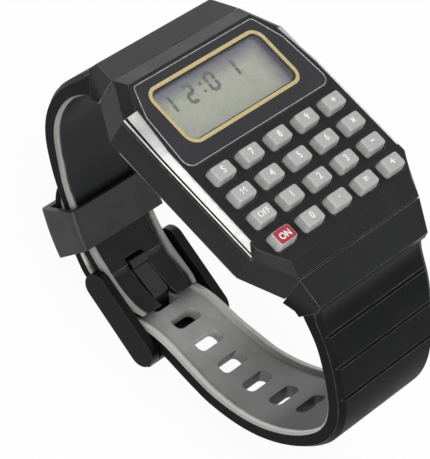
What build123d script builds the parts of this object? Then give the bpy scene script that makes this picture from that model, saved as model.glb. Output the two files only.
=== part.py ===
from build123d import *
from math import acos, asin, atan2, cos, degrees, pi, radians, sin
import os

# A calculator watch, buckled shut. X points to 3 o'clock, Y to 12 o'clock and Z out of the display.
# The origin is the middle of the flat back cover. All sizes are in millimetres.

os.makedirs("parts", exist_ok=True)

# Shared clearances
OVERRUN = 6.0  # how far a cutter runs past what it cuts
PIN_GAP = 0.05  # round a pin in its hole
SET_GAP = 0.03  # round a piece that is set in a pocket

# Case: heights above the back, and the right half of its outlines from 12 to 6 o'clock
CASE_HEIGHT = 8.3
BEVEL_DROP = 1.2
FOOT_CHAMFER_TOP = 2.2
BACK_THICK = 1.0
FACE_THICK = 1.2
FACE_TOP_HALF, FACE_TOP_Y = 12.95, 16.5
FACE_SHOULDER_HALF, FACE_SHOULDER_Y = 15.3, 12.7
FACE_WAIST_HALF, FACE_WAIST_Y = 16.25, 5.5
FACE_HIP_HALF, FACE_HIP_Y = 16.4, -12.3
FACE_FOOT_HALF, FACE_FOOT_Y = 13.45, -16.3
CASE_END_HALF, CASE_END_Y = 13.4, 18.6
CASE_SHOULDER_HALF, CASE_SHOULDER_Y = 17.0, 12.9
CASE_WAIST_HALF = 17.1
CASE_HIP_Y = -12.6
FOOT_INSET_X, FOOT_INSET_Y = 1.0, 0.5

# Cavity of the case: a lower room for the works and a wider shelf under the face
ROOM_HALF, ROOM_HALF_Y = 14.7, 13.3
SHELF_HALF_Y, SHELF_HEIGHT = 15.0, 5.5
SHELF_CORNER = 0.8
POST_SIDE = 3.0

# Silver side strips and the groove under them
TRIM_THICK = 0.3
TRIM_HIP_Y = -11.0
GROOVE_DROP, GROOVE_HIGH, GROOVE_DEEP = 0.2, 0.25, 0.25
GROOVE_HIP_Y = -13.2

# Display plate, its window and the gold line round it
PLATE_TOP_HALF, PLATE_TOP_Y = 12.55, 15.9
PLATE_SHOULDER_HALF, PLATE_SHOULDER_Y = 14.6, 11.2
PLATE_FOOT_HALF, PLATE_FOOT_Y = 15.35, 1.98
PLATE_TOP_ROUND, PLATE_FOOT_ROUND = 0.7, 1.5
PLATE_DEEP, PLATE_GAP = 0.7, 0.12
WINDOW_Y = 9.4
WINDOW_WIDE, WINDOW_HIGH, WINDOW_ROUND = 23.0, 9.2, 1.5
WINDOW_LEDGE = 0.3
LINE_WIDE, LINE_PROUD = 0.55, 0.06

# Display glass, its rubber connectors and the frame that holds both
GLASS_WIDE, GLASS_HIGH, GLASS_THICK = 24.4, 9.8, 0.9
ZEBRA_WIDE, ZEBRA_DEEP, ZEBRA_INSET = 22.0, 1.0, 0.3
MODULE_HALF, MODULE_FOOT_Y, MODULE_TOP_Y = 14.5, 1.7, 14.8
MODULE_GAP = 0.05

# Keys: five columns and four rows
KEY_COLUMN_PITCH, KEY_ROW_PITCH, KEY_FIRST_ROW_Y = 6.0, 4.0, -1.03
KEY_WIDE, KEY_HIGH, KEY_CORNER = 4.0, 2.65, 0.6
KEY_TOP_WIDE, KEY_PROUD, KEY_EDGE_ROUND = 3.55, 1.3, 0.28
KEY_HOLE_GAP = 0.15
KEY_FLANGE, KEY_FLANGE_THICK, KEY_FLANGE_GAP = 0.4, 0.35, 0.05
KEY_TRAVEL = 0.4
KEY_NAMES = (
    ("key_s", "key_7", "key_8", "key_9", "key_divide"),
    ("key_m", "key_4", "key_5", "key_6", "key_multiply"),
    ("key_off", "key_1", "key_2", "key_3", "key_minus"),
    ("key_on", "key_0", "key_point", "key_equals", "key_plus"),
)

# Rubber sheet under the keys
SHEET_HALF, SHEET_TOP_Y, SHEET_FOOT_Y, SHEET_THICK = 14.5, 1.4, -14.8, 0.3
DOME_RADIUS, DOME_TOP_RADIUS, DOME_GAP = 1.15, 0.75, 0.02

# Circuit board and what is on it
BOARD_HALF, BOARD_HALF_Y, BOARD_THICK, BOARD_NOTCH = 14.5, 13.1, 0.8, 3.2
CHIP_X, CHIP_Y, CHIP_RADIUS, CHIP_TALL = -8.5, -5.5, 3.0, 1.3
CAN_X, CAN_Y, CAN_RADIUS, CAN_LONG = 9.5, 6.0, 0.75, 6.0
CELL_X, CELL_Y, CELL_RADIUS, CELL_TALL = 1.5, -3.0, 5.8, 2.9
CELL_STEP, CELL_STEP_TALL = 0.6, 0.5
HOLDER_WALL, HOLDER_GAP = 0.9, 0.15
CONTACT_THICK, CONTACT_WIDE = 0.2, 3.0
CONTACT_LEG_GAP = 0.3

# Back cover, its seal and its screws
BACK_HALF, BACK_HALF_Y, BACK_CORNER = 15.5, 14.1, 2.6
BACK_EDGE_CHAMFER = 0.3
SEAL_WIDE, SEAL_DEEP, SEAL_WALL, SEAL_CORNER = 0.4, 0.45, 0.3, 2.0
SCREW_X, SCREW_Y = 13.0, 11.6
SCREW_HEAD_RADIUS, SCREW_HEAD_TALL, SCREW_RADIUS, SCREW_LONG = 1.1, 0.5, 0.55, 3.6
SCREW_SLOT_WIDE, SCREW_SLOT_DEEP = 0.3, 0.25

# Strap hinge under each end of the case
HUB_Y, HUB_Z, HUB_RADIUS, HUB_HALF = 16.8, 3.0, 2.0, 8.9
HUB_GAP, HUB_RECESS_Y = 0.1, 14.5
SPRING_BAR_RADIUS, SPRING_BAR_HALF, SPRING_BAR_TIP = 0.75, 10.0, 0.45
BLOCK_GAP = 0.12

# Loop of the strap: the curve of its wrist side, as arcs from the 12 o'clock hub to the 6 o'clock hub.
# Its two straight runs follow from these, so that the loop always closes.
UPPER_START_Y, UPPER_START_Z, UPPER_START_TURN = 18.6, 1.7, -35.0
LOWER_START_Y, LOWER_START_Z = 20.6, 1.4
SHOULDER_BEND, SHOULDER_TURN = 13.3, 85.8
BUCKLE_BEND, BUCKLE_TURN = 23.9, 63.8
SLOT_BEND, SLOT_TURN = 22.9, 61.5
CORNER_BEND, CORNER_TURN = 8.35, 54.3
HIP_BEND, HIP_TURN = 29.3, 30.1

# End block of each strap half: height at the seam, and the knee where its slope ends
BLOCK_SEAM_Z = 7.0
BLOCK_HALF = 12.1
UPPER_KNEE_Y, UPPER_KNEE_Z = 22.5, 5.5
LOWER_KNEE_Y, LOWER_KNEE_Z = 23.0, 4.75
UPPER_ROOT, UPPER_ROOT_THICK = 2.0, 4.2
LOWER_ROOT, LOWER_ROOT_THICK = 1.0, 3.2

# Strap: thickness and width along the loop, rims on the wrist side and bevels on the outer side
NECK_LONG, NECK_THICK = 2.5, 3.0
STRAP_THICK = 2.6
LAYER_THICK, LAYER_GAP = 2.1, 0.25
STRAP_ROOT_HALF, STRAP_END_HALF = 12.05, 7.0
UPPER_KEEPER_HALF, UPPER_KEEPER_AT = 7.6, 31.0
UPPER_END_HALF_AT = 40.0
LOWER_WAIST_HALF, LOWER_WAIST_AT = 10.5, 18.0
LOWER_SLOT_HALF, LOWER_SLOT_AT = 7.8, 42.0
LOWER_END_HALF_AT = 52.0
RIM_WIDE, RIM_TALL, RIM_RAMP, RIM_START = 1.2, 0.55, 0.35, 0.12
RIM_FADE = 8.0
EDGE_CHAMFER, BEVEL_WIDE, BEVEL_DEEP = 0.3, 1.1, 0.6
EDGE_SHARE, BEVEL_SHARE = 0.25, 0.33  # of the thickness, at most
STATION_STEP = 4.0

# The pivot end of the 12 o'clock strap half, as turns from where the buckle bend ends
PIVOT_TURN = 20.0
TAPER_START_TURN, TAPER_END_TURN = 14.5, 2.4
TAPER_END_THICK, TAPER_END_HALF = 0.45, 6.0
NOTCH_HALF = 1.9

# The 6 o'clock strap half steps outward, past the pivot end, to lie on the other half
STEP_BEND, SWELL_BEND, STEP_END_TURN = 12.0, 9.0, 15.0
TIP_TURN = 57.0
TIP_HALF, TIP_LONG, TIP_THICK = 4.2, 3.2, 1.5
TIP_SHOULDER_LONG, TIP_SHOULDER_HALF = 1.1, 6.0

# Slots of the 6 o'clock strap half, and cross grooves on both halves
SLOT_WIDE, SLOT_LONG, SLOT_ROUND, SLOT_PITCH = 5.2, 2.3, 0.9, 4.8
SLOTS_BEFORE, SLOTS_AFTER = 6, 2
SLOT_AHEAD = 2.06  # of the slot that the tongue is in, from the end of the buckle bend
RIDGE_WIDE, RIDGE_DEEP, RIDGE_PITCH, RIDGE_COUNT = 0.6, 0.4, 4.7, 3
UPPER_RIDGE_AT, LOWER_RIDGE_AT = 5.6, 4.6

# Buckle: frame, bar and tongue. Places are along and out of the strap, from the end of the buckle bend.
BAR_RADIUS, ARM_GAP, ARM_WALL, ARM_SKIN = 0.5, 0.3, 1.5, 0.4
PIVOT_BOSS, CROSS_BOSS = 2.1, 2.2
CROSS_AT, CROSS_OUT = -2.4, 3.15
CROSS_FRONT, CROSS_BACK, CROSS_TOP, CROSS_BOTTOM = -1.3, -4.4, 3.3, 5.1
CROSS_ROUND = 0.5
TONGUE_HUB, TONGUE_THICK, TONGUE_HALF, TONGUE_HUB_HALF = 1.0, 0.8, 1.6, 1.75
TONGUE_REST_OUT, TONGUE_TIP_AT = 4.65, -4.7
TONGUE_KNEE_AT, TONGUE_KNEE_OUT = 3.0, 0.75
TONGUE_HEEL_AT = 0.85
TONGUE_BEND = 0.7
TONGUE_SEAT_GAP, TONGUE_SIDE_GAP = 0.05, 0.2

# Sliding loop that holds the tail
KEEPER_START_TURN, KEEPER_LONG = 33.0, 6.4
KEEPER_GAP, KEEPER_WALL, KEEPER_UNDER, KEEPER_SIDE = 0.18, 1.0, 0.8, 1.05
KEEPER_ROUND = 0.9


def face_of(points):
    """A flat face inside a closed outline of corner points."""
    return make_face(Polyline(*points, close=True))


def both_sides(half):
    """A whole outline from its right half, listed from 12 to 6 o'clock."""
    return half + [(-x, y) for x, y in reversed(half)]


def plate(points, bottom, top):
    """An upright plate with the given outline."""
    return Pos(0, 0, bottom) * extrude(face_of(points), top - bottom)


def block(x_low, x_high, y_low, y_high, z_low, z_high):
    """A box between two corners."""
    middle = Pos((x_low + x_high) / 2, (y_low + y_high) / 2, (z_low + z_high) / 2)
    return middle * Box(x_high - x_low, y_high - y_low, z_high - z_low)


def pillar(x, y, radius, bottom, top):
    """An upright round bar."""
    return Pos(x, y, (bottom + top) / 2) * Cylinder(radius, top - bottom)


def cross_bar(y, z, radius, x_low, x_high):
    """A round bar across the watch."""
    return Pos((x_low + x_high) / 2, y, z) * Rot(0, 90, 0) * Cylinder(radius, x_high - x_low)


def across(points, half):
    """A side outline, in Y and Z, drawn out to both sides of the middle plane."""
    return extrude(Plane.YZ * face_of(points), half, both=True)


def at_height(points, height):
    """An outline laid flat at a height."""
    return Pos(0, 0, height) * face_of(points)


def solid_of(shape):
    """The one solid of a shape."""
    return shape.solids()[0]


def mix(distance, stations):
    """A size at a distance, running straight between (distance, size) stations."""
    before = stations[0]
    for after in stations[1:]:
        if distance <= after[0]:
            share = (distance - before[0]) / (after[0] - before[0])
            return before[1] + (after[1] - before[1]) * max(share, 0)
        before = after
    return before[1]


# Loop of the strap

def travel(place, length, bend):
    """A place (y, z, heading) moved along a run, whose bend is nought where it is straight."""
    y, z, heading = place
    if bend == 0:
        return y + length * cos(heading), z + length * sin(heading), heading
    turned = heading + length * bend
    return y + (sin(turned) - sin(heading)) / bend, z - (cos(turned) - cos(heading)) / bend, turned


def along(path, distance):
    """The place at a distance along a path, which is a start and its runs."""
    place, runs = path
    for length, bend in runs:
        step = min(distance, length)
        place = travel(place, step, bend)
        distance -= step
        if distance <= 0:
            return place
    return place


def path_length(path):
    """The length of all runs of a path."""
    return sum(length for length, bend in path[1])


def arc(radius, turn):
    """A run that turns clockwise by a number of degrees."""
    return radius * radians(turn), -1 / radius


def closing_runs():
    """The two straight runs that bring the loop's arcs to the 6 o'clock hub."""
    start = (UPPER_START_Y, UPPER_START_Z, radians(UPPER_START_TURN))
    shoulder = travel(start, *arc(SHOULDER_BEND, SHOULDER_TURN))
    buckle = travel(shoulder, *arc(BUCKLE_BEND, BUCKLE_TURN))
    last = buckle
    for bend, turn in ((SLOT_BEND, SLOT_TURN), (CORNER_BEND, CORNER_TURN), (HIP_BEND, HIP_TURN)):
        last = travel(last, *arc(bend, turn))
    miss_y, miss_z = -LOWER_START_Y - last[0], LOWER_START_Z - last[1]
    first, second = shoulder[2], buckle[2]
    cross = sin(second - first)
    run_one = (miss_y * sin(second) - miss_z * cos(second)) / cross
    run_two = (miss_z * cos(first) - miss_y * sin(first)) / cross
    return run_one, run_two, last[2]


SIDE_RUN, SLOT_RUN, LAST_HEADING = closing_runs()
UPPER_PATH = (
    (UPPER_START_Y, UPPER_START_Z, radians(UPPER_START_TURN)),
    [arc(SHOULDER_BEND, SHOULDER_TURN), (SIDE_RUN, 0), arc(BUCKLE_BEND, BUCKLE_TURN)],
)
BEND_START = SHOULDER_BEND * radians(SHOULDER_TURN) + SIDE_RUN

# Where the buckle bend ends, and the middle of that bend
FOOT = along(UPPER_PATH, path_length(UPPER_PATH))
BEND_Y = FOOT[0] + BUCKLE_BEND * sin(FOOT[2])
BEND_Z = FOOT[1] - BUCKLE_BEND * cos(FOOT[2])
TAIL_BEND = BUCKLE_BEND + LAYER_THICK + LAYER_GAP


def at_turn(turn):
    """The distance along the 12 o'clock half at a turn before the end of the buckle bend."""
    return BEND_START + BUCKLE_BEND * radians(BUCKLE_TURN - turn)


def by_foot(ahead, out):
    """The (y, z) of a place ahead, towards 12 o'clock, and out from the end of the buckle bend."""
    y, z, heading = FOOT
    return y - ahead * cos(heading) - out * sin(heading), z - ahead * sin(heading) + out * cos(heading)


def lower_path():
    """The wrist side of the 6 o'clock half, mirrored in Y, with the step out to the tail."""
    centre_in = BUCKLE_BEND - (TAIL_BEND - SWELL_BEND) * cos(radians(STEP_END_TURN))
    rise = acos((centre_in + STEP_BEND) / (STEP_BEND + SWELL_BEND))
    back = (STEP_BEND + SWELL_BEND) * sin(rise)
    straight = SLOT_RUN - back + (TAIL_BEND - SWELL_BEND) * sin(radians(STEP_END_TURN))
    runs = [
        arc(HIP_BEND, HIP_TURN),
        arc(CORNER_BEND, CORNER_TURN),
        arc(SLOT_BEND, SLOT_TURN),
        (straight, 0),
        (STEP_BEND * rise, 1 / STEP_BEND),
        (SWELL_BEND * (rise + radians(STEP_END_TURN)), -1 / SWELL_BEND),
        (TAIL_BEND * radians(TIP_TURN - STEP_END_TURN), -1 / TAIL_BEND),
    ]
    return (LOWER_START_Y, LOWER_START_Z, -LAST_HEADING), runs


LOWER_PATH = lower_path()
TIP_AT = path_length(LOWER_PATH)
TAIL_START_AT = TIP_AT - TAIL_BEND * radians(TIP_TURN - STEP_END_TURN)


# Case

def case_blank():
    """The case before it is hollowed: bevelled face, upright sides and chamfered foot."""
    face = [
        (FACE_TOP_HALF, FACE_TOP_Y),
        (FACE_SHOULDER_HALF, FACE_SHOULDER_Y),
        (FACE_WAIST_HALF, FACE_WAIST_Y),
        (FACE_HIP_HALF, FACE_HIP_Y),
        (FACE_FOOT_HALF, FACE_FOOT_Y),
    ]
    girth = [
        (CASE_END_HALF, CASE_END_Y),
        (CASE_SHOULDER_HALF, CASE_SHOULDER_Y),
        (CASE_WAIST_HALF, FACE_WAIST_Y),
        (CASE_SHOULDER_HALF, CASE_HIP_Y),
        (CASE_END_HALF, -CASE_END_Y),
    ]
    foot = [(x - FOOT_INSET_X, y - FOOT_INSET_Y * (1 if y > 0 else -1)) for x, y in girth]
    rims = (
        at_height(both_sides(face), CASE_HEIGHT),
        at_height(both_sides(girth), CASE_HEIGHT - BEVEL_DROP),
        at_height(both_sides(girth), FOOT_CHAMFER_TOP),
        at_height(both_sides(foot), BACK_THICK),
    )
    return loft(rims, ruled=True)


def trim_band(side, thick):
    """The band along one long bevel, from its shoulder to the slanted end at its hip."""
    low = CASE_HEIGHT - BEVEL_DROP
    reach = OVERRUN

    def rung(top_half, top_y, low_half, low_y):
        corners = [
            (side * (top_half - thick), top_y, CASE_HEIGHT),
            (side * (top_half + reach), top_y, CASE_HEIGHT),
            (side * (low_half + reach), low_y, low),
            (side * (low_half - thick), low_y, low),
        ]
        return make_face(Polyline(*corners, close=True))

    rungs = (
        rung(FACE_SHOULDER_HALF, FACE_SHOULDER_Y, CASE_SHOULDER_HALF, CASE_SHOULDER_Y),
        rung(FACE_WAIST_HALF, FACE_WAIST_Y, CASE_WAIST_HALF, FACE_WAIST_Y),
        rung(FACE_HIP_HALF, TRIM_HIP_Y, CASE_SHOULDER_HALF, CASE_HIP_Y),
    )
    return loft(rungs, ruled=True)


def plate_outline(gap):
    """The display plate's outline, with rounded corners, grown by a gap."""
    half = [
        (PLATE_TOP_HALF + gap, PLATE_TOP_Y + gap),
        (PLATE_SHOULDER_HALF + gap, PLATE_SHOULDER_Y),
        (PLATE_FOOT_HALF + gap, PLATE_FOOT_Y - gap),
    ]
    face = face_of(both_sides(half))
    corners = face.vertices().sort_by(Axis.Y)
    face = fillet(corners[:2], PLATE_FOOT_ROUND)
    corners = face.vertices().sort_by(Axis.Y)
    return fillet(corners[-2:], PLATE_TOP_ROUND)


def window_shape(grown):
    """The window's rounded outline, grown or shrunk to each side."""
    size_x, size_y = WINDOW_WIDE + 2 * grown, WINDOW_HIGH + 2 * grown
    return Pos(0, WINDOW_Y) * RectangleRounded(size_x, size_y, WINDOW_ROUND + grown)


def raised(sketch, bottom, top):
    """A flat sketch drawn up from one height to another."""
    return Pos(0, 0, bottom) * extrude(sketch, top - bottom)


def key_places():
    """The name and place of each key."""
    places = []
    for row, names in enumerate(KEY_NAMES):
        for column, name in enumerate(names):
            x = (column - (len(names) - 1) / 2) * KEY_COLUMN_PITCH
            places.append((name, x, KEY_FIRST_ROW_Y - row * KEY_ROW_PITCH))
    return places


def hub_recess(side):
    """The open room for a strap's hub, and the blind holes for its bar."""
    width = HUB_HALF + HUB_GAP
    roof = HUB_Z + HUB_RADIUS + HUB_GAP
    end = CASE_END_Y + OVERRUN
    room = block(-width, width, HUB_RECESS_Y, end, -OVERRUN, roof)
    reach = SPRING_BAR_HALF + PIN_GAP
    room += cross_bar(HUB_Y, HUB_Z, SPRING_BAR_TIP + PIN_GAP, -reach, reach)
    return room if side > 0 else mirror(room, about=Plane.XZ)


def screw_places():
    """The four corners where the back is screwed on."""
    return [(x, y) for x in (-SCREW_X, SCREW_X) for y in (-SCREW_Y, SCREW_Y)]


def shelf_outline():
    """The wide shelf under the face, with cut corners."""
    half = [
        (ROOM_HALF - SHELF_CORNER, SHELF_HALF_Y),
        (ROOM_HALF, SHELF_HALF_Y - SHELF_CORNER),
        (ROOM_HALF, SHELF_CORNER - SHELF_HALF_Y),
        (ROOM_HALF - SHELF_CORNER, -SHELF_HALF_Y),
    ]
    return both_sides(half)


def seal_ring(bottom, top, gap):
    """The ring that lies between the case's foot and the back."""
    inner_x, inner_y = ROOM_HALF + SEAL_WALL - gap, ROOM_HALF_Y + SEAL_WALL - gap
    outer_x, outer_y = inner_x + SEAL_WIDE + 2 * gap, inner_y + SEAL_WIDE + 2 * gap
    ring = RectangleRounded(2 * outer_x, 2 * outer_y, SEAL_CORNER)
    ring -= RectangleRounded(2 * inner_x, 2 * inner_y, SEAL_CORNER - SEAL_WIDE - 2 * gap)
    return raised(ring, bottom, top)


def case_top():
    """The moulded case: shell, face with its key holes and window, strap rooms and screw posts."""
    under_face = CASE_HEIGHT - FACE_THICK
    case = case_blank()
    case -= plate(shelf_outline(), SHELF_HEIGHT, under_face)
    case -= block(-ROOM_HALF, ROOM_HALF, -ROOM_HALF_Y, ROOM_HALF_Y, -OVERRUN, SHELF_HEIGHT)
    inner_x, inner_y = ROOM_HALF - POST_SIDE, ROOM_HALF_Y - POST_SIDE
    for x in (-1, 1):
        for y in (-1, 1):
            xs, ys = sorted((x * inner_x, x * ROOM_HALF)), sorted((y * inner_y, y * ROOM_HALF_Y))
            case += block(*xs, *ys, BACK_THICK, SHELF_HEIGHT)
    case -= raised(plate_outline(PLATE_GAP), CASE_HEIGHT - PLATE_DEEP, CASE_HEIGHT + OVERRUN)
    case -= raised(window_shape(-WINDOW_LEDGE), SHELF_HEIGHT, CASE_HEIGHT)
    hole = RectangleRounded(KEY_WIDE + 2 * KEY_HOLE_GAP, KEY_HIGH + 2 * KEY_HOLE_GAP, KEY_CORNER)
    for name, x, y in key_places():
        case -= raised(Pos(x, y) * hole, SHELF_HEIGHT, CASE_HEIGHT + OVERRUN)
    groove_top = CASE_HEIGHT - BEVEL_DROP - GROOVE_DROP
    for side in (-1, 1):
        case -= trim_band(side, TRIM_THICK + SET_GAP)
        case -= hub_recess(side)
        xs = sorted((side * (CASE_SHOULDER_HALF - GROOVE_DEEP), side * (CASE_SHOULDER_HALF + OVERRUN)))
        case -= block(*xs, GROOVE_HIP_Y, CASE_SHOULDER_Y, groove_top - GROOVE_HIGH, groove_top)
    for x, y in screw_places():
        case -= pillar(x, y, SCREW_RADIUS + PIN_GAP, -OVERRUN, SCREW_LONG + PIN_GAP)
    case -= seal_ring(BACK_THICK, BACK_THICK + SEAL_DEEP, 0)
    return solid_of(case)


def side_trim(side):
    """A silver strip, flush with the bevel that it covers."""
    return solid_of(case_blank() & trim_band(side, TRIM_THICK))


def case_back():
    """The back cover, with cut corners and countersunk holes."""
    half = [
        (BACK_HALF - BACK_CORNER, BACK_HALF_Y),
        (BACK_HALF, BACK_HALF_Y - BACK_CORNER),
        (BACK_HALF, BACK_CORNER - BACK_HALF_Y),
        (BACK_HALF - BACK_CORNER, -BACK_HALF_Y),
    ]
    cover = plate(both_sides(half), 0, BACK_THICK)
    cover = chamfer(cover.faces().sort_by(Axis.Z)[0].edges(), BACK_EDGE_CHAMFER)
    for x, y in screw_places():
        cover -= pillar(x, y, SCREW_RADIUS + PIN_GAP, 0, BACK_THICK)
        cover -= pillar(x, y, SCREW_HEAD_RADIUS + PIN_GAP, 0, SCREW_HEAD_TALL)
    return solid_of(cover)


def back_screws():
    """Four small slotted screws, with their heads flush with the back."""
    screws = []
    for x, y in screw_places():
        screw = pillar(x, y, SCREW_HEAD_RADIUS, 0, SCREW_HEAD_TALL)
        screw += pillar(x, y, SCREW_RADIUS, 0, SCREW_LONG)
        reach, half = SCREW_HEAD_RADIUS, SCREW_SLOT_WIDE / 2
        screw -= block(x - reach, x + reach, y - half, y + half, 0, SCREW_SLOT_DEEP)
        screws.append(solid_of(screw))
    return Compound(screws)


# Display

def display_plate():
    """The gloss plate let into the face, with the opening of its window."""
    flat = plate_outline(0) - window_shape(0)
    return raised(flat, CASE_HEIGHT - PLATE_DEEP, CASE_HEIGHT)


def window_crystal():
    """The clear window in the display plate."""
    return raised(window_shape(-SET_GAP), CASE_HEIGHT - PLATE_DEEP, CASE_HEIGHT)


def window_line():
    """The gold line round the window."""
    ring = window_shape(LINE_WIDE) - window_shape(0)
    return raised(ring, CASE_HEIGHT, CASE_HEIGHT + LINE_PROUD)


GLASS_TOP = CASE_HEIGHT - FACE_THICK - MODULE_GAP
GLASS_BOTTOM = GLASS_TOP - GLASS_THICK


def lcd_panel():
    """The display glass, close under the face."""
    return raised(Pos(0, WINDOW_Y) * Rectangle(GLASS_WIDE, GLASS_HIGH), GLASS_BOTTOM, GLASS_TOP)


def zebra_strips():
    """Two rubber strips that join the display glass to the board."""
    strips = []
    reach = GLASS_HIGH / 2 - ZEBRA_INSET
    for side in (-1, 1):
        ys = sorted((WINDOW_Y + side * reach, WINDOW_Y + side * (reach - ZEBRA_DEEP)))
        half = ZEBRA_WIDE / 2
        strips.append(block(-half, half, *ys, SHELF_HEIGHT, GLASS_BOTTOM))
    return Compound(strips)


def module_frame():
    """The frame round the display glass."""
    frame = block(-MODULE_HALF, MODULE_HALF, MODULE_FOOT_Y, MODULE_TOP_Y, SHELF_HEIGHT, GLASS_TOP)
    for x in (-MODULE_HALF, MODULE_HALF):
        corner = Pos(x, MODULE_TOP_Y) * Rot(0, 0, 45) * Rectangle(SHELF_CORNER * 2, SHELF_CORNER * 2)
        frame -= raised(corner, SHELF_HEIGHT, GLASS_TOP)
    opening = Rectangle(GLASS_WIDE + 2 * MODULE_GAP, GLASS_HIGH + 2 * MODULE_GAP)
    frame -= raised(Pos(0, WINDOW_Y) * opening, SHELF_HEIGHT, GLASS_TOP)
    return solid_of(frame)


# Keys

KEY_FOOT = CASE_HEIGHT - FACE_THICK - KEY_FLANGE_GAP - KEY_FLANGE_THICK


def key(x, y):
    """One key: sloping sides, rounded top, and a flange that keeps it under the face."""
    draft = degrees(atan2((KEY_WIDE - KEY_TOP_WIDE) / 2, KEY_PROUD))
    base = RectangleRounded(KEY_WIDE, KEY_HIGH, KEY_CORNER)
    cap = extrude(base, KEY_PROUD, taper=draft)
    cap = fillet(cap.faces().sort_by(Axis.Z)[-1].edges(), KEY_EDGE_ROUND)
    stem = raised(base, KEY_FOOT - CASE_HEIGHT, 0)
    flange = RectangleRounded(KEY_WIDE + 2 * KEY_FLANGE, KEY_HIGH + 2 * KEY_FLANGE, KEY_CORNER)
    foot = raised(flange, KEY_FOOT - CASE_HEIGHT, KEY_FOOT - CASE_HEIGHT + KEY_FLANGE_THICK)
    return solid_of(Pos(x, y, CASE_HEIGHT) * (cap + stem + foot))


def keypad_sheet():
    """The rubber sheet, with a dome under each key."""
    top = SHELF_HEIGHT + SHEET_THICK
    sheet = block(-SHEET_HALF, SHEET_HALF, SHEET_FOOT_Y, SHEET_TOP_Y, SHELF_HEIGHT, top)
    for x in (-SHEET_HALF, SHEET_HALF):
        corner = Pos(x, SHEET_FOOT_Y) * Rot(0, 0, 45) * Rectangle(SHELF_CORNER * 2, SHELF_CORNER * 2)
        sheet -= raised(corner, SHELF_HEIGHT, top)
    tall = KEY_FOOT - KEY_TRAVEL - DOME_GAP - top
    for name, x, y in key_places():
        sheet += Pos(x, y, top + tall / 2) * Cone(DOME_RADIUS, DOME_TOP_RADIUS, tall)
    return solid_of(sheet)


# Works

BOARD_BOTTOM = SHELF_HEIGHT - BOARD_THICK


def circuit_board():
    """The circuit board, notched round the screw posts."""
    board = block(-BOARD_HALF, BOARD_HALF, -BOARD_HALF_Y, BOARD_HALF_Y, BOARD_BOTTOM, SHELF_HEIGHT)
    inner_x, inner_y = BOARD_HALF - BOARD_NOTCH, BOARD_HALF_Y - BOARD_NOTCH
    for x in (-1, 1):
        for y in (-1, 1):
            xs, ys = sorted((x * inner_x, x * BOARD_HALF)), sorted((y * inner_y, y * BOARD_HALF_Y))
            board -= block(*xs, *ys, BOARD_BOTTOM, SHELF_HEIGHT)
    return solid_of(board)


def chip_blob():
    """The drop of resin over the chip, under the board: a cap of a ball."""
    ball = (CHIP_RADIUS**2 + CHIP_TALL**2) / (2 * CHIP_TALL)
    cap = Pos(CHIP_X, CHIP_Y, BOARD_BOTTOM - CHIP_TALL + ball) * Sphere(ball)
    low = BOARD_BOTTOM - CHIP_TALL
    xs, ys = (CHIP_X - CHIP_RADIUS, CHIP_X + CHIP_RADIUS), (CHIP_Y - CHIP_RADIUS, CHIP_Y + CHIP_RADIUS)
    return solid_of(cap & block(*xs, *ys, low, BOARD_BOTTOM))


def crystal_can():
    """The timing crystal's round can, lying under the board."""
    half = CAN_LONG / 2
    can = cross_bar(0, 0, CAN_RADIUS, -half, half)
    return solid_of(Pos(CAN_X, CAN_Y, BOARD_BOTTOM - CAN_RADIUS) * Rot(0, 0, 90) * can)


CELL_TOP = BOARD_BOTTOM - CONTACT_THICK
CELL_BOTTOM = CELL_TOP - CELL_TALL


def battery():
    """The button cell, with its smaller upper cap."""
    cell = pillar(CELL_X, CELL_Y, CELL_RADIUS, CELL_BOTTOM, CELL_TOP - CELL_STEP_TALL)
    cell += pillar(CELL_X, CELL_Y, CELL_RADIUS - CELL_STEP, CELL_BOTTOM, CELL_TOP)
    return solid_of(cell)


def battery_holder():
    """The round wall that keeps the cell in place, between the board and the back."""
    inner = CELL_RADIUS + HOLDER_GAP
    wall = pillar(CELL_X, CELL_Y, inner + HOLDER_WALL, BACK_THICK, BOARD_BOTTOM)
    wall -= pillar(CELL_X, CELL_Y, inner, BACK_THICK, BOARD_BOTTOM)
    reach = CELL_X + inner + HOLDER_WALL
    half = CONTACT_WIDE / 2 + HOLDER_GAP
    wall -= block(CELL_X, reach, CELL_Y - half, CELL_Y + half, BACK_THICK, BOARD_BOTTOM)
    return solid_of(wall)


def battery_contact_minus():
    """The flat spring between the cell's cap and the board."""
    half = CONTACT_WIDE / 2
    reach = CELL_RADIUS - CELL_STEP - HOLDER_WALL
    return block(CELL_X - reach, CELL_X + reach, CELL_Y - half, CELL_Y + half, CELL_TOP, BOARD_BOTTOM)


def battery_contact_plus():
    """The strip under the cell, with a leg up to the board."""
    half = CONTACT_WIDE / 2
    edge = CELL_X + CELL_RADIUS + CONTACT_LEG_GAP
    low = CELL_BOTTOM - CONTACT_THICK
    strip = block(CELL_X - CELL_RADIUS / 2, edge, CELL_Y - half, CELL_Y + half, low, CELL_BOTTOM)
    strip += block(edge, edge + CONTACT_THICK, CELL_Y - half, CELL_Y + half, low, BOARD_BOTTOM)
    return solid_of(strip)


# Strap

def frame_at(path, distance):
    """The plane across the strap at a distance: X across the watch, Y out from the wrist."""
    y, z, heading = along(path, distance)
    return Plane(origin=(0, y, z), x_dir=(1, 0, 0), z_dir=(0, -cos(heading), -sin(heading)))


def strap_section(path, distance, half, thick, rim):
    """The strap's outline across its length: rims on the wrist side, bevels on the outer side."""
    trough = half - RIM_WIDE
    edge, bevel = min(EDGE_CHAMFER, thick * EDGE_SHARE), min(BEVEL_DEEP, thick * BEVEL_SHARE)
    right = [
        (trough - RIM_RAMP, rim),
        (trough, 0),
        (half - edge, 0),
        (half, edge),
        (half, thick - bevel),
        (half - BEVEL_WIDE, thick),
    ]
    left = [(-x, out) for x, out in reversed(right)]
    return frame_at(path, distance) * face_of(right + left)


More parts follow.
